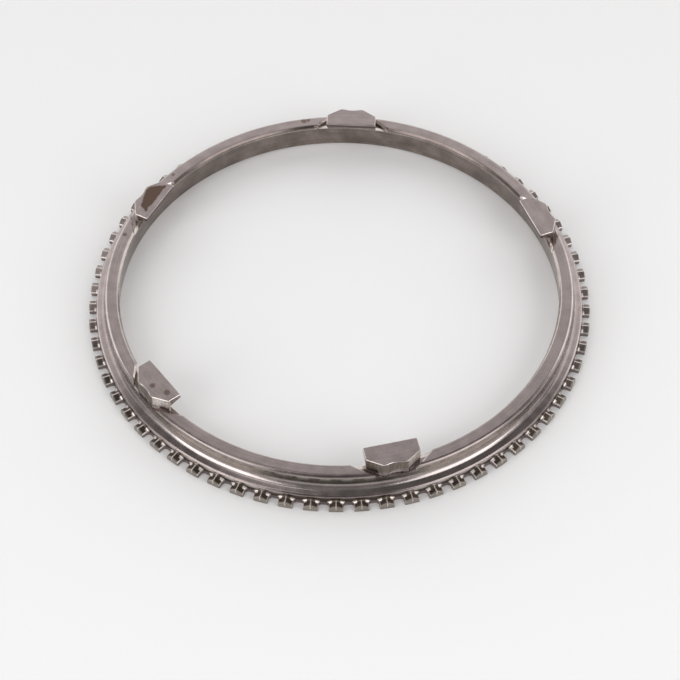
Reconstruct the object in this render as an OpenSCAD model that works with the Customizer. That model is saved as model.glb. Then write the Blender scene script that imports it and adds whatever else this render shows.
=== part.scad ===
// Synchronizer ring of a heavy gearbox, one piece of steel: a collar with a friction cone
// in its bore, a flange with roofed blocker teeth, and drive lugs that overhang the bore.
// Millimetres, +Z up. The gear-side face lies on Z = 0 and the ring's axis is the Z axis.
// The middle lug stands on -X, and the wide space between lugs is centred on +X.

/* [Friction cone] */
// Diameter of the cone at its wide end, on the gear side
cone_d = 176.4; // [160:0.1:190]
// Half angle of the cone, in degrees
cone_angle = 6; // [5.5:0.1:7]
// Chamfer at the cone's wide end
mouth_chamfer = 0.6; // [0.2:0.1:1]

/* [Collar] */
// Thickness of the collar's wall at the cone's wide end
wall_t = 4.6; // [4.2:0.1:6]
// Height of the land on top of the collar
land_z = 12.5; // [12:0.1:13.2]
// Radius on the land's outer edge
land_edge_r = 1.4; // [0.8:0.1:1.7]
// Chamfer on the land's inner edge
land_chamfer = 0.9; // [0.3:0.1:1.2]

/* [Flange] */
// Width of the flange outside the collar's wall
flange_w = 4; // [3.6:0.1:5]
// Height of the flange at its rim
rim_z = 5.3; // [4.8:0.1:5.8]
// Slope of the flange's top, falling outwards, in degrees
flange_slope = 15; // [8:1:18]
// Radius on the flange's rim
rim_edge_r = 1.1; // [0.5:0.1:1.5]
// Radius of the cove between the flange and the collar
cove_r = 2.5; // [1.5:0.1:2.8]

/* [Blocker teeth] */
// Number of teeth
tooth_count = 66; // [60:1:72]
// Length of a tooth from the flange's rim to its tip
tooth_l = 3.2; // [2.8:0.1:4.5]
// Width of a tooth
tooth_w = 5.4; // [4.8:0.1:6]
// Height of the ridge along a tooth
ridge_z = 3.4; // [3:0.1:4.2]
// Angle between the two roof faces of a tooth, in degrees
roof_angle = 125; // [112:1:135]

/* [Drive lugs] */
// Number of lugs
lug_count = 5; // [3:1:5]
// Tooth pitches from one lug to the next
lug_step = 12; // [11:1:13]
// Height of the lugs' flat tops
lug_z = 17.1; // [16.4:0.1:17.8]
// Width of a lug across its parallel sides
lug_w = 20.6; // [19:0.1:22]
// Reach of a lug's inner face, measured inwards from the collar's wall
lug_reach = 10.1; // [9:0.1:11]
// Setback of the shoulders where a lug's chamfers start, from the collar's wall
shoulder_setback = 4.6; // [3.6:0.1:5.2]
// Width of a lug's nose between its chamfers
nose_w = 9.4; // [8:0.1:11]
// Setback of a lug's nose from the collar's wall, at its top
nose_setback = 0.8; // [0.6:0.1:1.2]
// Setback of a lug's nose from the collar's wall, at its root
foot_setback = 0.3; // [0.2:0.05:0.6]
// Width of the shallow scallop down the middle of a lug's nose
scallop_w = 6.4; // [4:0.1:7]
// Depth of that scallop
scallop_depth = 0.5; // [0.2:0.1:0.8]
// Thickness of a lug's overhanging inner edge
lug_edge = 2; // [1.5:0.1:2.4]
// Slope of the overhang's underside, falling outwards, in degrees
lug_under = 15; // [10:1:18]
// Setback of a lug's neck from the friction cone
neck_setback = 0.6; // [0.2:0.1:1]
// Depth of the relief cut into the land round each lug
relief_depth = 1.8; // [1:0.1:2.4]
// Gap between a lug's shoulder and the end wall of its relief
relief_gap = 2.4; // [1.6:0.1:3.2]
// Angle of the relief's end walls from the radial direction, in degrees
relief_angle = 50; // [45:1:55]

/* [Hidden] */
$fn = 180;
collar_r = cone_d / 2 + wall_t;
flange_r = collar_r + flange_w;
tip_r = flange_r + tooth_l;
lug_inner = collar_r - lug_reach;
lug_shoulder = collar_r - shoulder_setback;
nose_r = collar_r - nose_setback;
relief_floor = land_z - relief_depth;
pitch = 360 / tooth_count;

// Height of the flange's sloping top at radius r
function flange_top(r) = rim_z + (flange_r - r) * tan(flange_slope);

// Radius of the friction cone at height z
function cone_r(z) = cone_d / 2 - z * tan(cone_angle);

// Height of a lug's underside at radius r
function under_z(r) = lug_z - lug_edge - (r - lug_inner) * tan(lug_under);

// Half width of a lug's relief at distance x from the axis
function relief_y(x) = lug_w / 2 + relief_gap - (x - lug_shoulder) * tan(relief_angle);

// Unit vector square to the flange's sloping top
slope_normal = [sin(flange_slope), cos(flange_slope)];

// Centre of each rounded edge's arc, in the section plane
land_centre = [collar_r - land_edge_r, land_z - land_edge_r];
rim_centre_r = flange_r - rim_edge_r;
rim_centre = [rim_centre_r, flange_top(rim_centre_r) - rim_edge_r / cos(flange_slope)];
cove_centre_r = collar_r + cove_r;
cove_centre = [cove_centre_r, flange_top(cove_centre_r) + cove_r / cos(flange_slope)];

eaves_z = ridge_z - tooth_w / 2 / tan(roof_angle / 2);
scallop_r = (scallop_w * scallop_w / 4 + scallop_depth * scallop_depth) / (2 * scallop_depth);
// Depth to which teeth and lugs are rooted in the ring
root = 1;
lug_foot = relief_floor - root;
// Lean of a lug's nose and chamfers, and the direction in which its chamfers face
lug_draft = atan((nose_setback - foot_setback) / (lug_z - lug_foot));
chamfer_turn = atan2(nose_r - lug_shoulder, (lug_w - nose_w) / 2);

// What lies between a corner of the section and the arc that rounds it
module corner_fillet(corner, start, centre, end, r) {
    difference() {
        polygon([corner, start, centre, end]);
        translate(centre)
            circle(r);
    }
}

// Half section of the collar and flange, radius across and height up
module ring_section() {
    rim_corner = [flange_r, rim_z];
    land_corner = [collar_r, land_z];
    cove_corner = [collar_r, flange_top(collar_r)];
    difference() {
        union() {
            polygon([
                [cone_r(0) + mouth_chamfer, 0],
                [flange_r, 0],
                rim_corner,
                cove_corner,
                land_corner,
                [cone_r(land_z) + land_chamfer, land_z],
                [cone_r(land_z - land_chamfer), land_z - land_chamfer],
                [cone_r(mouth_chamfer), mouth_chamfer]
            ]);
            corner_fillet(
                cove_corner,
                [collar_r, cove_centre.y],
                cove_centre,
                cove_centre - cove_r * slope_normal,
                cove_r
            );
        }
        corner_fillet(
            land_corner,
            [collar_r, land_centre.y],
            land_centre,
            [land_centre.x, land_z],
            land_edge_r
        );
        corner_fillet(
            rim_corner,
            [flange_r, rim_centre.y],
            rim_centre,
            rim_centre + rim_edge_r * slope_normal,
            rim_edge_r
        );
    }
}

// One blocker tooth along +X: straight flanks, a pointed roof and a tip on the tip circle
module tooth() {
    intersection() {
        translate([flange_r - root, 0, 0])
            rotate([90, 0, 90])
                linear_extrude(tip_r - flange_r + 2 * root)
                    polygon([
                        [-tooth_w / 2, 0],
                        [tooth_w / 2, 0],
                        [tooth_w / 2, eaves_z],
                        [0, ridge_z],
                        [-tooth_w / 2, eaves_z]
                    ]);
        cylinder(h = ridge_z + root, r = tip_r);
    }
}

// What is cut away beyond a leaning face of a lug, from a point on the face's top edge
module beyond_face(x, y, turn) {
    translate([x, y, lug_z])
        rotate([0, -lug_draft, turn])
            translate([0, -lug_w, -lug_z])
                cube([lug_w, 2 * lug_w, 2 * lug_z]);
}

// One lug pointing along +X, seen from above: parallel sides, two chamfers and a scalloped nose
module lug_block() {
    difference() {
        translate([lug_inner, -lug_w / 2, 0])
            cube([lug_reach, lug_w, lug_z]);
        beyond_face(nose_r, 0, 0);
        beyond_face(lug_shoulder, lug_w / 2, chamfer_turn);
        beyond_face(lug_shoulder, -lug_w / 2, -chamfer_turn);
        translate([nose_r + scallop_r - scallop_depth, 0, lug_z])
            rotate([0, -lug_draft, 0])
                cylinder(h = 2 * lug_z, r = scallop_r, center = true);
    }
}

// Half section that gives a lug its overhang, its neck and its root in the collar
module lug_section() {
    neck_top = cone_r(land_z) + neck_setback;
    polygon([
        [lug_inner - root, under_z(lug_inner - root)],
        [neck_top, under_z(neck_top)],
        [cone_r(lug_foot) + neck_setback, lug_foot],
        [tip_r, lug_foot],
        [tip_r, lug_z],
        [lug_inner - root, lug_z]
    ]);
}

// One drive lug pointing along +X
module lug() {
    intersection() {
        lug_block();
        rotate_extrude()
            lug_section();
    }
}

// The shallow cut across the land that a lug stands in, with slanted end walls
module relief() {
    inner = lug_inner;
    outer = collar_r + root;
    translate([0, 0, relief_floor])
        linear_extrude(relief_depth + root)
            polygon([
                [inner, -relief_y(inner)],
                [outer, -relief_y(outer)],
                [outer, relief_y(outer)],
                [inner, relief_y(inner)]
            ]);
}

// Sets its children at each lug's place, with the middle one on -X
module at_lugs() {
    for (i = [0:lug_count - 1])
        rotate(180 + (i - (lug_count - 1) / 2) * lug_step * pitch)
            children();
}

module ring() {
    color("#928785") {
        difference() {
            rotate_extrude()
                ring_section();
            at_lugs()
                relief();
        }
        for (i = [0:tooth_count - 1])
            rotate((i + 0.5) * pitch)
                tooth();
        at_lugs()
            lug();
    }
}

ring();
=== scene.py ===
import math
import bmesh
import bpy
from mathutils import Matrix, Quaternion, Vector


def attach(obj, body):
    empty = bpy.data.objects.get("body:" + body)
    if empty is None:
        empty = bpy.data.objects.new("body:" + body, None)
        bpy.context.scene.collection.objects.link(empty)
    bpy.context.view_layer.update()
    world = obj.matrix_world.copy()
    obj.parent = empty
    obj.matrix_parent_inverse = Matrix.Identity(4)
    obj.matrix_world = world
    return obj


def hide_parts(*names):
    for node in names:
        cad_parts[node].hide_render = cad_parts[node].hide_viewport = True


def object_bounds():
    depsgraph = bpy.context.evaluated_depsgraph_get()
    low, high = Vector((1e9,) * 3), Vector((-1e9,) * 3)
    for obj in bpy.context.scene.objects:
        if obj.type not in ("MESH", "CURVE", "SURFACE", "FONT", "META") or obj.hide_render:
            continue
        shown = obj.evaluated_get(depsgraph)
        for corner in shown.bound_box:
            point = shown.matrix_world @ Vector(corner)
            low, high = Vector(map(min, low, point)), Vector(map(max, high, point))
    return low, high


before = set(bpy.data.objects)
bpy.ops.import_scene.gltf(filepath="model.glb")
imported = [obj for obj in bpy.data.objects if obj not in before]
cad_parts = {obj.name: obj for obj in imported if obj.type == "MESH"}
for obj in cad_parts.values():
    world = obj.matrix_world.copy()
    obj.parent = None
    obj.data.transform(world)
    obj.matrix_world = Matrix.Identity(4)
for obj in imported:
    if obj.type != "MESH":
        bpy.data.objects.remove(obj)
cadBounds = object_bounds()
mm = 0.001  # settings are in millimetres, the scene is in metres
touch = 0.001 * mm  # points this close are one
tipR = cadBounds[1].y / mm  # tooth tips, from the frame
lugTop = cadBounds[1].z / mm  # flat tops of the lugs, from the frame
print("frame loaded, tip radius", round(tipR, 2), "mm, lug tops at", round(lugTop, 2), "mm")


# small helpers for working by hand in edit mode

def pick(kind, test):  # selects the verts, edges or faces that pass a test, and nothing else
    mesh = bpy.context.object.data
    bpy.ops.mesh.select_mode(type=kind)
    bpy.ops.mesh.select_all(action="DESELECT")
    edit = bmesh.from_edit_mesh(mesh)
    for part in {"VERT": edit.verts, "EDGE": edit.edges, "FACE": edit.faces}[kind]:
        part.select_set(test(part))
    bmesh.update_edit_mesh(mesh)


def near(a, b):
    return abs(a - b) < touch


def startOutline(name):  # one vertex at the origin, ready to be drawn out
    bpy.ops.object.select_all(action="DESELECT")
    bpy.ops.mesh.primitive_plane_add(size=mm)
    piece = bpy.context.object
    piece.name = piece.data.name = name
    bpy.ops.object.mode_set(mode="EDIT")
    bpy.ops.mesh.select_mode(type="VERT")
    bpy.ops.mesh.select_all(action="SELECT")
    bpy.ops.mesh.merge(type="CENTER")
    return piece


def drawOutline(points):  # extrudes the vertex from point to point, in millimetres, and closes the loop
    points = [Vector(p) * mm for p in points]
    bpy.ops.transform.translate(value=points[0])
    for start, end in zip(points, points[1:]):
        bpy.ops.mesh.extrude_region_move(TRANSFORM_OT_translate={"value": end - start})
    ends = (points[0], points[-1])
    pick("VERT", lambda v: any((v.co - p).length < touch for p in ends))
    bpy.ops.mesh.edge_face_add()
    return points


def roundCorner(points, i, radius):  # rounds one corner of a wire outline to a true radius
    corner = points[i]
    into = corner - points[i - 1]
    out = points[(i + 1) % len(points)] - corner
    along = radius * mm * math.tan(into.angle(out) / 2)
    pick("VERT", lambda v: (v.co - corner).length < touch)
    bpy.ops.mesh.bevel(affect="VERTICES", offset=along, segments=ring["arcSteps"], profile=0.5)


def closeUp():  # merges doubles and turns every face outwards
    bpy.ops.mesh.select_all(action="SELECT")
    bpy.ops.mesh.remove_doubles(threshold=touch / 2)
    bpy.ops.mesh.normals_make_consistent(inside=False)
    bpy.ops.object.mode_set(mode="OBJECT")


def turnTo(piece, degrees):  # turns a piece about the ring's axis and keeps the turn in its mesh
    piece.rotation_euler.z = math.radians(degrees)
    bpy.ops.object.transform_apply(location=False, rotation=True, scale=False)


def copyRound(count, step):  # repeats the whole mesh round the axis, step degrees apart
    bpy.ops.object.mode_set(mode="EDIT")
    bpy.ops.mesh.select_all(action="SELECT")
    bpy.ops.mesh.spin(steps=count - 1, angle=math.radians(step) * (count - 1), dupli=True,
                      center=(0, 0, 0), axis=(0, 0, -1))  # spin goes clockwise round its axis
    bpy.ops.object.mode_set(mode="OBJECT")


def combine(target, tool, operation):  # boolean, applied, and the tool is thrown away
    cut = target.modifiers.new(operation.lower(), "BOOLEAN")
    cut.object = tool
    cut.operation = operation
    cut.solver = "EXACT"
    bpy.ops.object.select_all(action="DESELECT")
    bpy.context.view_layer.objects.active = target
    bpy.ops.object.modifier_apply(modifier=cut.name)
    bpy.data.objects.remove(tool)


# the turned body: collar, friction cone, cove and flange

ring = {
    "coneD": 176.4, "coneAngle": 6.0, "mouthChamfer": 0.6,
    "wall": 4.6, "landZ": 12.5, "landEdge": 1.4, "landChamfer": 0.9,
    "flangeW": 4.0, "rimZ": 5.3, "flangeSlope": 15, "rimEdge": 1.1, "cove": 2.5,
    "edgeBreak": 0.3,  # small radius on the edges that are only broken
    "teeth": 66,
    "spinSteps": 396, "arcSteps": 8, "smoothAngle": 32,
}
landZ = ring["landZ"]
rimZ = ring["rimZ"]
collarR = ring["coneD"] / 2 + ring["wall"]
flangeR = collarR + ring["flangeW"]
wallFoot = rimZ + ring["flangeW"] * math.tan(math.radians(ring["flangeSlope"]))
pitch = 360 / ring["teeth"]


def coneR(z):
    return ring["coneD"] / 2 - z * math.tan(math.radians(ring["coneAngle"]))


landInner = coneR(landZ) + ring["landChamfer"]


def makeBody():
    chamfer, mouth = ring["landChamfer"], ring["mouthChamfer"]
    corners = [  # radius, height, edge radius
        (coneR(0) + mouth, 0, ring["edgeBreak"]),
        (flangeR, 0, ring["edgeBreak"]),
        (flangeR, rimZ, ring["rimEdge"]),
        (collarR, wallFoot, ring["cove"]),
        (collarR, landZ, ring["landEdge"]),
        (landInner, landZ, ring["edgeBreak"]),
        (coneR(landZ - chamfer), landZ - chamfer, ring["edgeBreak"]),
        (coneR(mouth), mouth, ring["edgeBreak"]),
    ]
    body = startOutline("synchronizerRing")
    points = drawOutline([(r, 0, z) for r, z, edge in corners])
    for i, (r, z, edge) in enumerate(corners):
        roundCorner(points, i, edge)
    bpy.ops.mesh.select_all(action="SELECT")
    bpy.ops.mesh.spin(steps=ring["spinSteps"], angle=2 * math.pi, center=(0, 0, 0), axis=(0, 0, 1))
    closeUp()
    turnTo(body, 180 / ring["spinSteps"])  # half a step, so no facet edge lies on a tooth's or lug's middle
    print("body turned,", len(body.data.polygons), "faces")
    return body


# the five drive lugs and the relief cut round each

lug = {
    "count": 5, "stepTeeth": 12, "width": 20.6, "reach": 10.1, "shoulderSetback": 4.6,
    "noseW": 9.4, "noseSetback": 0.8, "footSetback": 0.3,
    "scallopW": 6.4, "scallopDepth": 0.5, "scallopSteps": 8,
    "edge": 2.0, "under": 15, "neckSetback": 0.6, "root": 1.0,
    "reliefDepth": 1.8, "reliefGap": 2.4, "reliefAngle": 50,
    "reliefBreak": 0.7, "breakLean": 40,  # the broken top edges of the end walls
    "bevel": 0.35, "bevelSteps": 3, "bevelDepth": 2.5, "sharp": 25,  # edges down to that depth are broken
}
lugInner = collarR - lug["reach"]
lugShoulder = collarR - lug["shoulderSetback"]
noseR = collarR - lug["noseSetback"]
reliefFloor = landZ - lug["reliefDepth"]
lugStep = lug["stepTeeth"] * pitch
firstLug = 180 - lugStep * (lug["count"] - 1) / 2  # the middle lug stands on -X


def makeLugs():
    neckTop = coneR(landZ) + lug["neckSetback"]
    neckFoot = reliefFloor - lug["root"]
    underSlope = math.tan(math.radians(lug["under"]))
    half = lug["width"] / 2
    side = [
        (lugInner, -half, lugTop),
        (lugInner, -half, lugTop - lug["edge"]),
        (neckTop, -half, lugTop - lug["edge"] - (neckTop - lugInner) * underSlope),
        (coneR(neckFoot) + lug["neckSetback"], -half, neckFoot),
        (collarR, -half, neckFoot),
        (collarR, -half, lugTop),
    ]
    lugs = startOutline("lugs")
    drawOutline(side)
    bpy.ops.mesh.select_all(action="SELECT")
    bpy.ops.mesh.edge_face_add()
    bpy.ops.mesh.extrude_region_move(TRANSFORM_OT_translate={"value": (0, lug["width"] * mm, 0)})
    lean = (lug["noseSetback"] - lug["footSetback"]) / (lugTop - neckFoot)  # the nose and chamfers have draft
    square = Vector((half - lug["noseW"] / 2, noseR - lugShoulder, 0)).normalized()  # square to a chamfer
    for x, flip in ((noseR, 0), (lugShoulder, -1), (lugShoulder, 1)):
        facing = Vector((square.x, flip * square.y, lean)) if flip else Vector((1, 0, lean))
        bpy.ops.mesh.select_all(action="SELECT")
        bpy.ops.mesh.bisect(plane_co=Vector((x, flip * half, lugTop)) * mm, plane_no=facing.normalized(),
                            use_fill=True, clear_outer=True)
    scallopR = (lug["scallopW"] ** 2 / 4 + lug["scallopDepth"] ** 2) / (2 * lug["scallopDepth"])
    cuts = [lug["scallopW"] * (i / lug["scallopSteps"] - 0.5) for i in range(lug["scallopSteps"] + 1)]
    for y in cuts:
        bpy.ops.mesh.select_all(action="SELECT")
        bpy.ops.mesh.bisect(plane_co=(0, y * mm, 0), plane_no=(0, 1, 0))
    noseFrom = (lugShoulder + noseR) / 2
    for y in cuts[1:-1]:
        inward = math.sqrt(scallopR ** 2 - y ** 2) - (scallopR - lug["scallopDepth"])
        pick("VERT", lambda v: v.co.x > noseFrom * mm and near(v.co.y, y * mm))
        bpy.ops.transform.translate(value=(-inward * mm, 0, 0))
    bpy.ops.mesh.select_all(action="SELECT")
    bpy.ops.mesh.normals_make_consistent(inside=False)
    pick("EDGE", isLugEdge)
    bpy.ops.mesh.bevel(affect="EDGES", offset=lug["bevel"] * mm, segments=lug["bevelSteps"])
    closeUp()
    turnTo(lugs, firstLug)
    copyRound(lug["count"], lugStep)
    print("lugs made,", len(lugs.data.polygons), "faces")
    return lugs


def isLugEdge(edge):  # the sharp edges, without the cramped ones of the neck and foot
    low = (lugTop - lug["bevelDepth"]) * mm
    return edge.calc_face_angle(0) > math.radians(lug["sharp"]) and max(v.co.z for v in edge.verts) > low


def makeReliefCutter():
    slope = math.tan(math.radians(lug["reliefAngle"]))
    outer = collarR + lug["root"]
    innerY = lug["width"] / 2 + lug["reliefGap"] + (lugShoulder - lugInner) * slope
    outerY = lug["width"] / 2 + lug["reliefGap"] - (outer - lugShoulder) * slope
    cutter = startOutline("reliefCutter")
    drawOutline([
        (lugInner, -innerY, reliefFloor),
        (outer, -outerY, reliefFloor),
        (outer, outerY, reliefFloor),
        (lugInner, innerY, reliefFloor),
    ])
    bpy.ops.mesh.select_all(action="SELECT")
    bpy.ops.mesh.edge_face_add()
    flare = lug["reliefBreak"] + lug["root"]
    for rise in (lug["reliefDepth"] - lug["reliefBreak"], flare):
        bpy.ops.mesh.extrude_region_move(TRANSFORM_OT_translate={"value": (0, 0, rise * mm)})
    turn = math.radians(lug["reliefAngle"])
    lean = math.tan(math.radians(lug["breakLean"]))
    top = landZ + lug["root"]
    for sign in (-1, 1):  # the end walls lean back at the top, which breaks their edges on the land
        pick("VERT", lambda v: near(v.co.z, top * mm) and v.co.y * sign > 0)
        back = Vector((math.sin(turn), sign * math.cos(turn), 0))
        bpy.ops.transform.translate(value=back * flare * lean * mm)
    closeUp()
    turnTo(cutter, firstLug)
    copyRound(lug["count"], lugStep)
    print("relief cutter made")
    return cutter


# the ring of roofed blocker teeth

tooth = {
    "width": 5.4, "ridgeZ": 3.4, "roofAngle": 125, "root": 1.0,
    "filletSteps": (0, 0.2, 0.45, 0.75, 1.1),  # distances from the rim of the loops in the root fillet
    "fillet": 0.7, "ridgeFillet": 0.7,  # how far the flanks and the ridge flare into the rim
    "bevel": 0.28, "bevelSteps": 2,
}
toothHalf = tooth["width"] / 2
eavesZ = tooth["ridgeZ"] - toothHalf / math.tan(math.radians(tooth["roofAngle"] / 2))
tipX = math.sqrt(tipR ** 2 - toothHalf ** 2)  # the tip's corners lie on the tip circle


def makeTeeth():
    back = flangeR - tooth["root"]
    teeth = startOutline("teeth")
    drawOutline([
        (back, -toothHalf, 0),
        (back, toothHalf, 0),
        (back, toothHalf, eavesZ),
        (back, 0, tooth["ridgeZ"]),
        (back, -toothHalf, eavesZ),
    ])
    bpy.ops.mesh.select_all(action="SELECT")
    bpy.ops.mesh.edge_face_add()
    stations = [flangeR + d for d in tooth["filletSteps"]] + [tipX]
    here = back
    for x in stations:
        bpy.ops.mesh.extrude_region_move(TRANSFORM_OT_translate={"value": ((x - here) * mm, 0, 0)})
        here = x
    bpy.ops.mesh.select_all(action="SELECT")
    bpy.ops.mesh.normals_make_consistent(inside=False)
    reach = tooth["filletSteps"][-1]
    for x in [back] + stations[:-2]:
        into = min(1 - (x - flangeR) / reach, 1)  # 1 at the rim, 0 where the fillet runs out
        flare = 1 - math.sqrt(1 - into ** 2)
        for sign in (-1, 1):
            pick("VERT", lambda v: near(v.co.x, x * mm) and near(v.co.y, sign * toothHalf * mm))
            bpy.ops.transform.translate(value=(0, sign * flare * tooth["fillet"] * mm, 0))
        pick("VERT", lambda v: near(v.co.x, x * mm) and near(v.co.z, eavesZ * mm))
        bpy.ops.transform.translate(value=(0, 0, flare * tooth["fillet"] * mm))
        pick("VERT", lambda v: near(v.co.x, x * mm) and near(v.co.z, tooth["ridgeZ"] * mm))
        bpy.ops.transform.translate(value=(0, 0, flare * tooth["ridgeFillet"] * mm))
    pick("EDGE", isToothEdge)
    bpy.ops.mesh.bevel(affect="EDGES", offset=tooth["bevel"] * mm, segments=tooth["bevelSteps"])
    closeUp()
    turnTo(teeth, pitch / 2)
    copyRound(ring["teeth"], pitch)
    print("teeth made,", len(teeth.data.polygons), "faces")
    return teeth


def isToothEdge(edge):  # the ridge, the eaves and the outline of the tip
    a, b = (v.co / mm for v in edge.verts)
    slack = touch / mm
    onTip = min(a.x, b.x) > tipX - slack
    onRidge = max(abs(a.y), abs(b.y)) < slack
    onFlank = a.y * b.y > 0 and min(abs(a.y), abs(b.y)) > toothHalf - slack
    onEaves = onFlank and min(a.z, b.z) > eavesZ / 2
    return onTip or ((onRidge or onEaves) and max(a.x, b.x) > flangeR)


ringPiece = makeBody()
combine(ringPiece, makeReliefCutter(), "DIFFERENCE")
combine(ringPiece, makeLugs(), "UNION")
combine(ringPiece, makeTeeth(), "UNION")
bpy.ops.object.select_all(action="DESELECT")
ringPiece.select_set(True)
bpy.context.view_layer.objects.active = ringPiece
bpy.ops.object.mode_set(mode="EDIT")
bpy.ops.mesh.select_all(action="SELECT")
bpy.ops.mesh.remove_doubles(threshold=2 * touch)
bpy.ops.object.mode_set(mode="OBJECT")
bpy.ops.object.shade_smooth_by_angle(angle=math.radians(ring["smoothAngle"]))
weighted = ringPiece.modifiers.new("flatFaces", "WEIGHTED_NORMAL")  # flat faces stay flat beside their bevels
weighted.keep_sharp = True
bpy.ops.object.modifier_apply(modifier=weighted.name)
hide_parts("ring")
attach(ringPiece, "root")
print("ring joined,", len(ringPiece.data.polygons), "faces")


# the steel, its stains, and the light and shade painted into its colour

def toLinear(hexColour):
    parts = [int(hexColour[i:i + 2], 16) / 255 for i in (1, 3, 5)]
    return [c / 12.92 if c <= 0.04045 else ((c + 0.055) / 1.055) ** 2.4 for c in parts] + [1.0]


def addNode(tree, kind, settings):  # adds a node: what is a socket gets linked, and the rest is set
    node = tree.nodes.new(kind)
    for key, value in settings.items():
        if isinstance(value, bpy.types.NodeSocket):
            tree.links.new(value, node.inputs[key])
        elif isinstance(key, str) and hasattr(node, key):
            setattr(node, key, value)
        else:
            node.inputs[key].default_value = value
    return node


steel = {
    # the wall colour is a painted reflection; the chamfer, end wall and near-white colours are painted
    # highlights; the edge, pocket and teeth colours are painted shade
    "clean": "#938886", "bore": "#8e837d", "wall": "#9f9b94", "nose": "#81776f", "chamfer": "#cdc5bf",
    "edge": "#766b67", "pocketShade": "#5a4f4a", "endWallHighlight": "#bdb4af", "inner": "#6b5f5b", "teeth": "#51463f",
    "tips": "#968f87", "paintedHighlight": "#d6cdc8", "stain": "#5b4a41",
    "cameraTurn": 298,  # degrees round the ring to the side that faces the camera, by which light and shade are painted
    "roughness": 0.2, "flatRoughness": 0.32, "toothRoughness": 0.36, "milledRoughness": 0.45,
    "wave": 1.6, "waveHeight": 0.006,  # the tumbled skin is slightly wavy
    "highlightHalfWidth": 0.2,  # half width of the painted highlight lines on the teeth
    "streakStretch": 0.12,  # the milling streaks on the noses run upwards
    "noiseFrom": 0.3, "noiseTo": 0.7,  # most of a noise lies between these
}
patterns = {  # coordinates, cell in millimetres, detail, spread, and the zone that has it, if not all
    "blotch": ("place", 4.5, 3, 0.10, None),
    "grain": ("place", 0.5, 2, 0.07, None),
    "turned": ("rounds", 0.5, 2, 0.08, None),  # feed marks are finer, drawn coarser to show
    "streak": ("upright", 0.9, 2, 0.16, "noses"),  # so are the milling marks
    # the bore's blotches are partly real mottling and partly painted reflection
    "boreBlotch": ("place", 8.0, 4, 0.20, "bore"),
}
stain = {
    "ragged": 2.0, "cell": 2.6, "spotShare": 0.75, "spotFrom": 0.9, "spotTo": 0.1,
    # the patch on the middle lug: inward direction of each edge and a point on it, in the lug's own axes
    "edges": [
        ((1, 0), (84.8, 0)), ((-0.64, 0.768), (84.5, -10.2)), ((-1, 0), (91.3, 0)),
        ((-0.941, -0.337), (91.1, -1.5)), ((-0.545, -0.839), (88.7, 5.2)),
    ],
    "spots": [  # x, y, z and radius of the small brown marks
        (-36.4, -80.9, lugTop, 1.1), (-29.9, -81.2, lugTop, 1.2), (-55.3, 72.0, landZ, 1.1),
        (-54.0, 73.3, landZ, 0.8), (-88.5, 19.2, landZ, 0.8), (-88.5, -18.4, landZ, 0.8),
    ],
}

# ranges that mark off the zones: axis, a level on it, and the distances from it where a zone fades in
onTeeth = [("r", flangeR, -0.25, -0.05), ("z", rimZ, -0.6, -1.1)]
onRoofs = onTeeth + [("r", flangeR, 0.2, 0.6), ("z", eavesZ, -0.6, -0.3)]
onNose = [("r", lugShoulder, -0.7, 0.3), ("z", landZ, 0.1, 0.3), ("z", lugTop, -0.2, -0.4)]
onInner = [("r", lugInner, 1.0, 0.8), ("z", lugTop, -0.3, -0.4)]
onWall = [("r", collarR, -0.3, -0.1), ("z", wallFoot, 1.0, 1.4), ("z", landZ, -0.9, -1.2)]
innerEdge = [("z", landZ, -1.0, -0.8), ("z", landZ, 0.0, -0.2), ("r", landInner, 0.4, 0.1)]
landTurn = [("z", landZ, -0.8, -0.6), ("z", landZ, -0.05, -0.2), ("r", collarR, -1.0, -0.7)]
rimTurn = [("z", rimZ, -0.6, -0.4), ("z", rimZ, 0.15, 0.0), ("r", flangeR, -0.7, -0.5)]
landMargin = [("r", landInner, 0.4, 0.15), ("z", landZ, -0.2, -0.1), ("z", landZ, 0.2, 0.1)]
inPocket = [("z", reliefFloor, -0.1, -0.05), ("z", reliefFloor, 0.3, 0.15),
            ("r", landInner, 0.4, 1.4), ("r", collarR, -0.5, -0.8)]
rimWall = [("r", flangeR, -0.2, -0.1), ("r", flangeR, 0.3, 0.1), ("z", tooth["ridgeZ"], 0.1, 0.4)]
eavesOff = toothHalf - 0.1  # where the painted highlight along the eaves lies, from the ridge
highlightIn, highlightOut = steel["highlightHalfWidth"] - 0.1, steel["highlightHalfWidth"] + 0.1
atFront = [("side", 0, 0.55, 0.75)]  # side is 1 on the side facing the camera and -1 across from it
atSides = [("side", 0, 0.65, 0.35)]
notBehind = [("side", 0, -0.6, -0.2)]

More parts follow.
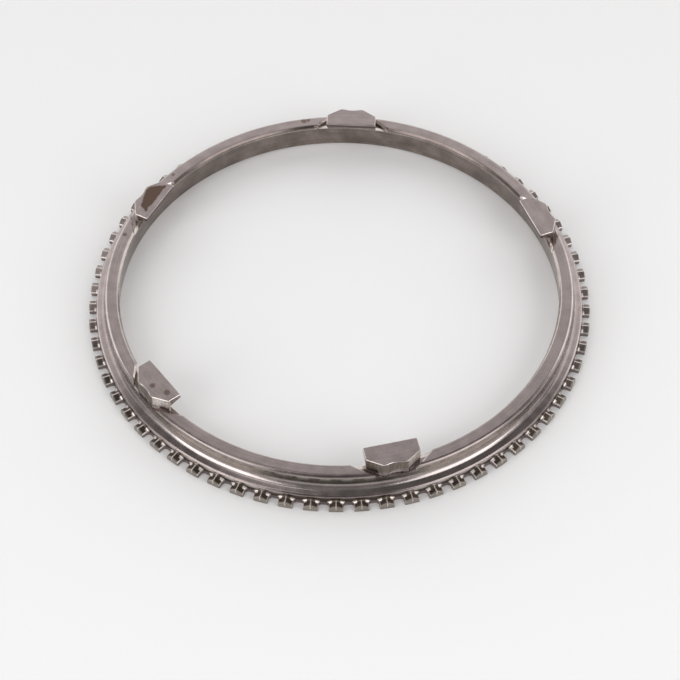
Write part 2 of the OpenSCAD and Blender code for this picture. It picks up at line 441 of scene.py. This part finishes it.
zones = {
    "bore": [("r", coneR(0), 0.5, 0.2), ("z", landZ, -0.2, -0.6)],
    "wall": onWall,
    "noses": onNose,
    "chamfers": onNose + [("offLug", lug["noseW"] / 2, 0.0, 0.5)],
    "inner": onInner,
    "lugTops": [("z", lugTop, -0.12, -0.04)],
    "land": [("z", landZ, -0.2, -0.08), ("z", landZ, 0.2, 0.05)],
    "pockets": inPocket,
    "shadedPockets": inPocket + [("offLug", 0, 4.0, 0.0)],  # most of the painted shade lies on one side of each lug
    "endWalls": [("z", reliefFloor, 0.05, 0.2), ("z", landZ, -0.5, -0.7),
                 ("r", landInner, -0.5, -0.2), ("r", collarR, -0.5, -0.8)],
    "teeth": onTeeth,
    "tips": onTeeth + [("r", tipR, -0.6, -0.35)],
    "shadedRoofs": onTeeth + [("z", eavesZ, -0.2, 0.1), ("r", flangeR, 2.9, 2.3), ("side", 0, -0.4, 0.7)],
    "rootShade": onTeeth + [("r", flangeR, 0.3, 0.1)],
    "shadedEdge": innerEdge + [("side", 0, -0.2, -0.6)],
    "shadedLandTurn": landTurn + atFront,
    "shadedRimTurn": rimTurn + atFront,
    "edgeHighlight": innerEdge + notBehind,
    "landTurnHighlight": landTurn + atSides,
    "rimTurnHighlight": rimTurn + atSides,
    "marginHighlight": landMargin + notBehind + atSides,
    "wallHighlight": onWall + atSides,
    "coveHighlight": [("z", wallFoot, 0.5, 0.2), ("z", wallFoot, -0.4, -0.25), ("r", collarR, 1.8, 1.5),
                 ("r", collarR, -0.1, 0.1), ("side", 0, 0.5, 0.7)],
    "rimHighlight": rimWall + [("side", 0, 0.55, 0.72), ("side", 0, 0.99, 0.95)],
    "ridgeHighlights": onRoofs + [("across", 0, highlightOut, highlightIn)],
    "eavesHighlights": onRoofs + [("across", eavesOff, -highlightOut, -highlightIn), ("across", eavesOff, highlightOut, highlightIn)],
    "rootHighlights": onTeeth + [("z", eavesZ, -0.1, 0.2), ("r", flangeR, 0.0, 0.2), ("r", flangeR, 1.2, 0.9),
                            ("across", toothHalf, -1.3, -0.9)],
    "lugEdgeHighlights": [("z", lugTop, -0.4, -0.3), ("z", lugTop, -0.02, -0.07)],
    "innerHighlight": onInner + [("z", lugTop - lug["edge"], 0.35, 0.2)],
    "breakHighlights": [("z", landZ, -0.75, -0.65), ("z", landZ, -0.03, -0.08),
                   ("r", landInner, 0.2, 0.5), ("r", collarR, -1.4, -1.7)],
    "pocketHighlights": [("z", reliefFloor, -0.2, -0.1), ("z", reliefFloor, 0.25, 0.15),
                    ("r", landInner, 0.8, 0.5), ("r", landInner, -1.0, -0.9)],
    "patch": [("inPatch", stain["ragged"] / 2, -0.1, 0.5), ("z", lugTop, -0.5, -0.2)],
}
finishes = [  # colour, and the zones that have it with their shares: each is laid over those before it
    ("bore", {"bore": 1}),
    # painted reflection: the collar wall lighter and greener than the rest of the steel
    ("wall", {"wall": 1}),
    ("nose", {"noses": 1}),
    # painted highlight: a pale chamfer on one side of each lug's nose
    ("chamfer", {"chamfers": 1}),
    # painted shade: the land's inner edge darker on the far side, and the land and rim turns darker towards
    # the camera, to dim their highlights
    ("edge", {"shadedEdge": 1, "shadedLandTurn": 0.4, "shadedRimTurn": 0.4}),
    # painted shade in the relief pockets, darkest on one side of each lug
    ("pocketShade", {"shadedPockets": 1, "pockets": 0.2}),
    # painted highlight: the relief end walls made pale
    ("endWallHighlight", {"endWalls": 1}),
    ("inner", {"inner": 1}),
    # painted shade: tooth roofs darker on the side facing the camera, and a little in the gaps between the
    # teeth
    ("teeth", {"shadedRoofs": 1, "rootShade": 0.15}),
    ("tips", {"tips": 1}),
    # painted highlights: near-white lines on the tooth ridges, eaves and roots, the lug edges, the end-wall
    # tops, the pocket margins, and the rim, wall, cove and land edges towards the camera's sides
    ("paintedHighlight", {"ridgeHighlights": 1, "eavesHighlights": 1, "rootHighlights": 1, "lugEdgeHighlights": 1, "innerHighlight": 1, "breakHighlights": 1,
              "pocketHighlights": 1, "wallHighlight": 0.9, "rimHighlight": 0.7, "landTurnHighlight": 0.5, "rimTurnHighlight": 0.5,
              "marginHighlight": 0.5, "coveHighlight": 0.4, "edgeHighlight": 0.3}),
]
rougher = {
    "flatRoughness": {"lugTops": 1, "land": 1},
    "toothRoughness": {"teeth": 1},
    "milledRoughness": {"noses": 1, "endWalls": 1},
}


def makeAxes(tree, place):  # the axes that the zones are marked off on, in millimetres but for side
    parts = addNode(tree, "ShaderNodeSeparateXYZ", {0: place}).outputs
    flat = addNode(tree, "ShaderNodeVectorMath", {"operation": "MULTIPLY", 0: place,
                   1: (1, 1, 0)}).outputs["Vector"]
    bearing = addNode(tree, "ShaderNodeVectorMath", {"operation": "NORMALIZE", 0: flat}).outputs["Vector"]
    cameraBearing = math.radians(steel["cameraTurn"])
    side = addNode(tree, "ShaderNodeVectorMath", {"operation": "DOT_PRODUCT", 0: bearing,
                   1: (math.cos(cameraBearing), math.sin(cameraBearing), 0)})
    turn = addNode(tree, "ShaderNodeMath", {"operation": "ARCTAN2", 0: parts["Y"],
                   1: parts["X"]}).outputs["Value"]
    halfPitch = math.radians(pitch) * flangeR / 2
    roundRim = addNode(tree, "ShaderNodeMath", {"operation": "MULTIPLY_ADD", 0: turn,
                       1: flangeR, 2: halfPitch})
    across = addNode(tree, "ShaderNodeMath", {"operation": "PINGPONG", 0: roundRim.outputs["Value"],
                     1: halfPitch})
    halfStep = math.radians(lugStep) / 2
    whole = addNode(tree, "ShaderNodeMath", {"operation": "WRAP", 0: turn, 1: math.tau, 2: 0.0})
    inStep = addNode(tree, "ShaderNodeMath", {"operation": "WRAP", 0: whole.outputs["Value"],
                     1: math.pi + halfStep, 2: math.pi - halfStep})  # the middle lug is half a turn round
    offLug = addNode(tree, "ShaderNodeMath", {"operation": "MULTIPLY_ADD", 0: inStep.outputs["Value"],
                     1: noseR, 2: -math.pi * noseR})
    return {
        "r": addNode(tree, "ShaderNodeVectorMath", {"operation": "LENGTH", 0: flat}).outputs["Value"],
        "z": parts["Z"],
        "turn": turn,
        "side": side.outputs["Value"],
        "across": across.outputs["Value"],  # from a tooth's ridge
        "offLug": offLug.outputs["Value"],  # along the ring from a lug's middle
    }


def makeMask(tree, axes, cover):  # the greatest share that any of the zones gives
    greatest = 0.0
    for zone, share in cover.items():
        mask = share
        for axis, level, start, end in zones[zone]:
            within = addNode(tree, "ShaderNodeMapRange", {"interpolation_type": "SMOOTHSTEP",
                             "Value": axes[axis], "From Min": level + start, "From Max": level + end})
            mask = addNode(tree, "ShaderNodeMath", {"operation": "MULTIPLY", 0: mask,
                           1: within.outputs["Result"]}).outputs["Value"]
        greatest = addNode(tree, "ShaderNodeMath", {"operation": "MAXIMUM", 0: greatest,
                           1: mask}).outputs["Value"]
    return greatest


def makePatterns(tree, axes, place):  # each pattern's level, round 1
    rounds = addNode(tree, "ShaderNodeCombineXYZ", {0: axes["r"], 1: axes["z"], 2: axes["turn"]})
    unrolled = addNode(tree, "ShaderNodeCombineXYZ", {0: axes["turn"], 1: axes["z"]})
    upright = addNode(tree, "ShaderNodeVectorMath", {"operation": "MULTIPLY", 0: unrolled.outputs["Vector"],
                      1: (collarR, steel["streakStretch"], 0)})
    maps = {"place": place, "rounds": rounds.outputs["Vector"], "upright": upright.outputs["Vector"]}
    levels = {}
    for name, (over, cell, detail, spread, zone) in patterns.items():
        noise = addNode(tree, "ShaderNodeTexNoise", {"Vector": maps[over], "Scale": 1 / cell,
                        "Detail": detail})
        level = addNode(tree, "ShaderNodeMapRange", {"interpolation_type": "SMOOTHSTEP",
                        "Value": noise.outputs["Fac"],
                        "From Min": steel["noiseFrom"], "From Max": steel["noiseTo"],
                        "To Min": 1 - spread, "To Max": 1 + spread}).outputs["Result"]
        if zone:
            level = addNode(tree, "ShaderNodeMix", {"Factor": makeMask(tree, axes, {zone: 1}), "A": 1.0,
                            "B": level}).outputs["Result"]
        levels[name] = level
    return levels


def makeStain(tree, axes, place):  # a brown patch with a straight inner edge, and a few small marks
    noise = addNode(tree, "ShaderNodeTexNoise", {"Vector": place, "Scale": 1 / stain["cell"], "Detail": 2.0})
    ragged = noise.outputs["Fac"]
    inside = addNode(tree, "ShaderNodeMath", {"operation": "MULTIPLY", 0: ragged, 1: stain["ragged"]})
    depth = lug["width"]  # more than any place on the lug has
    for (nx, ny), (px, py) in stain["edges"]:  # the middle lug's axes are the part's, turned by half a turn
        along = addNode(tree, "ShaderNodeVectorMath", {"operation": "DOT_PRODUCT", 0: place,
                        1: (-nx, -ny, 0)})
        fromEdge = addNode(tree, "ShaderNodeMath", {"operation": "SUBTRACT", 0: along.outputs["Value"],
                           1: nx * px + ny * py})
        depth = addNode(tree, "ShaderNodeMath", {"operation": "MINIMUM", 0: depth,
                        1: fromEdge.outputs["Value"]}).outputs["Value"]
    axes["inPatch"] = addNode(tree, "ShaderNodeMath", {"operation": "ADD", 0: depth,
                              1: inside.outputs["Value"]}).outputs["Value"]
    cover = {"patch": 1}
    for i, (x, y, z, radius) in enumerate(stain["spots"]):
        away = addNode(tree, "ShaderNodeVectorMath", {"operation": "DISTANCE", 0: place, 1: (x, y, z)})
        name = "spot" + str(i)
        axes[name] = addNode(tree, "ShaderNodeMath", {"operation": "ADD", 0: away.outputs["Value"],
                             1: ragged}).outputs["Value"]
        zones[name] = [(name, radius, stain["spotFrom"], stain["spotTo"])]
        cover[name] = stain["spotShare"]
    return makeMask(tree, axes, cover)


def makeSteel():  # turned and tumbled case-hardening steel: satin grey, warm, with clear soft reflections
    material = bpy.data.materials.new("tumbledTurnedSteel")
    material.use_nodes = True
    tree = material.node_tree
    shader = tree.nodes["Principled BSDF"]
    local = addNode(tree, "ShaderNodeTexCoord", {}).outputs["Object"]
    place = addNode(tree, "ShaderNodeVectorMath", {"operation": "SCALE", 0: local,
                    "Scale": 1 / mm}).outputs["Vector"]
    axes = makeAxes(tree, place)
    levels = makePatterns(tree, axes, place)
    colour = toLinear(steel["clean"])
    for name, cover in finishes:
        mask = makeMask(tree, axes, cover)
        colour = addNode(tree, "ShaderNodeMix", {"data_type": "RGBA", 0: mask, 6: colour,
                         7: toLinear(steel[name])}).outputs[2]
    for level in levels.values():
        colour = addNode(tree, "ShaderNodeVectorMath", {"operation": "SCALE", 0: colour,
                         "Scale": level}).outputs["Vector"]
    colour = addNode(tree, "ShaderNodeMix", {"data_type": "RGBA", 0: makeStain(tree, axes, place), 6: colour,
                     7: toLinear(steel["stain"])}).outputs[2]
    rough = steel["roughness"]
    for name, cover in rougher.items():
        rough = addNode(tree, "ShaderNodeMath", {"operation": "MULTIPLY_ADD", 0: makeMask(tree, axes, cover),
                        1: steel[name] - steel["roughness"], 2: rough}).outputs["Value"]
    rough = addNode(tree, "ShaderNodeMath", {"operation": "MULTIPLY", 0: rough, 1: levels["blotch"]})
    wave = addNode(tree, "ShaderNodeTexNoise", {"Vector": place, "Scale": 1 / steel["wave"], "Detail": 1.0})
    bump = addNode(tree, "ShaderNodeBump", {"Height": wave.outputs["Fac"],
                   "Distance": steel["waveHeight"] * mm})
    tree.links.new(colour, shader.inputs["Base Color"])
    tree.links.new(rough.outputs["Value"], shader.inputs["Roughness"])
    tree.links.new(bump.outputs["Normal"], shader.inputs["Normal"])
    shader.inputs["Metallic"].default_value = 1.0
    print("steel made,", len(tree.nodes), "nodes")
    return material


ringPiece.data.materials.clear()
ringPiece.data.materials.append(makeSteel())


# floor, light and camera

stage = {
    "floorSize": 6.0, "floorColour": "#f7f6f6", "floorRoughness": 0.9, "floorGloss": 0.1,
    "wall": 1.0,  # world strength round about, and then what is laid over it
    "low": 1.62, "lowFrom": 0.76, "lowTo": 0.50,  # near the floor, by the sine of the elevation
    "gap": 0.5, "gapAt": 0.04, "gapFrom": 0.32, "gapTo": 0.16,  # dark at the sides, by the bearing's cosine
    "front": 0.42, "frontFrom": 0.80, "frontTo": 0.94,  # dark behind the camera, by the cosine of the bearing
    "overhead": 0.22, "overheadFrom": 0.64, "overheadTo": 0.70,  # dark ceiling, by the cosine from its aim
    "overheadAim": (0.03, -0.36, 0.93),  # right, away and up, as the camera sees it
    "overheadSpread": 0.15,  # how much wider it is to the sides
    "lamp": 2.0, "lampFrom": 0.980, "lampTo": 0.992,  # a pale panel in the ceiling
    "lampAim": (-0.26, -0.12, 0.955),
}
view = {
    "from": (0.2905, -0.5432, 0.7878), "target": (9.39, -17.12, 0), "distance": 703.8,
    "lens": 94.3, "sensor": 36, "nearest": 10,
    "roll": -0.246,  # degrees
}
softbox = {
    "distance": 1.8, "turn": 50, "elevation": 32, "width": 1.1, "height": 1.3, "radiance": 2.25,
}


def makeFloor():
    bpy.ops.object.select_all(action="DESELECT")
    bpy.ops.mesh.primitive_plane_add(size=stage["floorSize"])
    floor = bpy.context.object
    floor.name = "floor"
    paper = bpy.data.materials.new("matteWhitePaper")  # plain and pale, no gloss
    paper.use_nodes = True
    shader = paper.node_tree.nodes["Principled BSDF"]
    shader.inputs["Base Color"].default_value = toLinear(stage["floorColour"])
    shader.inputs["Roughness"].default_value = stage["floorRoughness"]
    shader.inputs["Specular IOR Level"].default_value = stage["floorGloss"]
    floor.data.materials.append(paper)


def makeWorld():
    world = bpy.data.worlds.new("studio")
    world.use_nodes = True
    bpy.context.scene.world = world
    tree = world.node_tree
    toCamera = Vector((view["from"][0], view["from"][1], 0)).normalized()
    toRight = Vector((0, 0, 1)).cross(toCamera)
    aims = {"up": Vector((0, 0, 1)), "toRight": toRight}
    for name in ("overhead", "lamp"):
        right, away, up = stage[name + "Aim"]
        aims[name] = (toRight * right - toCamera * away + Vector((0, 0, up))).normalized()
    direction = addNode(tree, "ShaderNodeTexCoord", {}).outputs["Generated"]
    along = {}
    for name, aim in aims.items():
        along[name] = addNode(tree, "ShaderNodeVectorMath", {"operation": "DOT_PRODUCT", 0: direction,
                              1: aim}).outputs["Value"]
    flat = addNode(tree, "ShaderNodeVectorMath", {"operation": "MULTIPLY", 0: direction, 1: (1, 1, 0)})
    bearing = addNode(tree, "ShaderNodeVectorMath", {"operation": "NORMALIZE", 0: flat.outputs["Vector"]})
    facing = addNode(tree, "ShaderNodeVectorMath", {"operation": "DOT_PRODUCT", 0: bearing.outputs["Vector"],
                     1: toCamera}).outputs["Value"]
    offGap = addNode(tree, "ShaderNodeMath", {"operation": "SUBTRACT", 0: facing, 1: stage["gapAt"]})
    fromGap = addNode(tree, "ShaderNodeMath", {"operation": "ABSOLUTE", 0: offGap.outputs["Value"]})
    sideways = addNode(tree, "ShaderNodeMath", {"operation": "ABSOLUTE", 0: along["toRight"]})
    ceiling = addNode(tree, "ShaderNodeMath", {"operation": "MULTIPLY_ADD", 0: sideways.outputs["Value"],
                      1: stage["overheadSpread"], 2: along["overhead"]})
    layers = {
        "low": along["up"],
        "gap": fromGap.outputs["Value"],
        "front": facing,
        "overhead": ceiling.outputs["Value"],
        "lamp": along["lamp"],
    }
    strength = stage["wall"]
    for name, value in layers.items():
        mask = addNode(tree, "ShaderNodeMapRange", {"interpolation_type": "SMOOTHSTEP", "Value": value,
                       "From Min": stage[name + "From"], "From Max": stage[name + "To"]})
        strength = addNode(tree, "ShaderNodeMix", {"Factor": mask.outputs["Result"], "A": strength,
                           "B": stage[name]}).outputs["Result"]
    tree.links.new(strength, tree.nodes["Background"].inputs["Strength"])
    tree.nodes["Background"].inputs["Color"].default_value = (1, 1, 1, 1)


def makeSoftbox(name, turn):
    toCamera = Vector(view["from"])
    azimuth = math.atan2(toCamera.y, toCamera.x) + math.radians(turn)
    rise = math.radians(softbox["elevation"])
    place = Vector((math.cos(azimuth) * math.cos(rise), math.sin(azimuth) * math.cos(rise), math.sin(rise)))
    lamp = bpy.data.lights.new(name, "AREA")
    lamp.shape = "RECTANGLE"
    lamp.size = softbox["width"]
    lamp.size_y = softbox["height"]
    lamp.energy = softbox["radiance"] * math.pi * softbox["width"] * softbox["height"]
    holder = bpy.data.objects.new(name, lamp)
    bpy.context.scene.collection.objects.link(holder)
    holder.location = place * softbox["distance"]
    holder.rotation_euler = place.to_track_quat("Z", "Y").to_euler()


def makeCamera():
    lens = bpy.data.cameras.new("camera")
    lens.lens = view["lens"]
    lens.sensor_width = view["sensor"]
    lens.clip_start = view["nearest"] * mm
    camera = bpy.data.objects.new("camera", lens)
    bpy.context.scene.collection.objects.link(camera)
    outward = Vector(view["from"]).normalized()
    camera.location = (Vector(view["target"]) + outward * view["distance"]) * mm
    level = outward.to_track_quat("Z", "Y")
    camera.rotation_euler = (level @ Quaternion((0, 0, 1), math.radians(view["roll"]))).to_euler()
    bpy.context.scene.camera = camera


makeFloor()
makeWorld()
makeSoftbox("softboxLeft", -softbox["turn"])
makeSoftbox("softboxRight", softbox["turn"])
makeCamera()
bpy.context.scene.view_settings.view_transform = "Standard"
print("stage set")
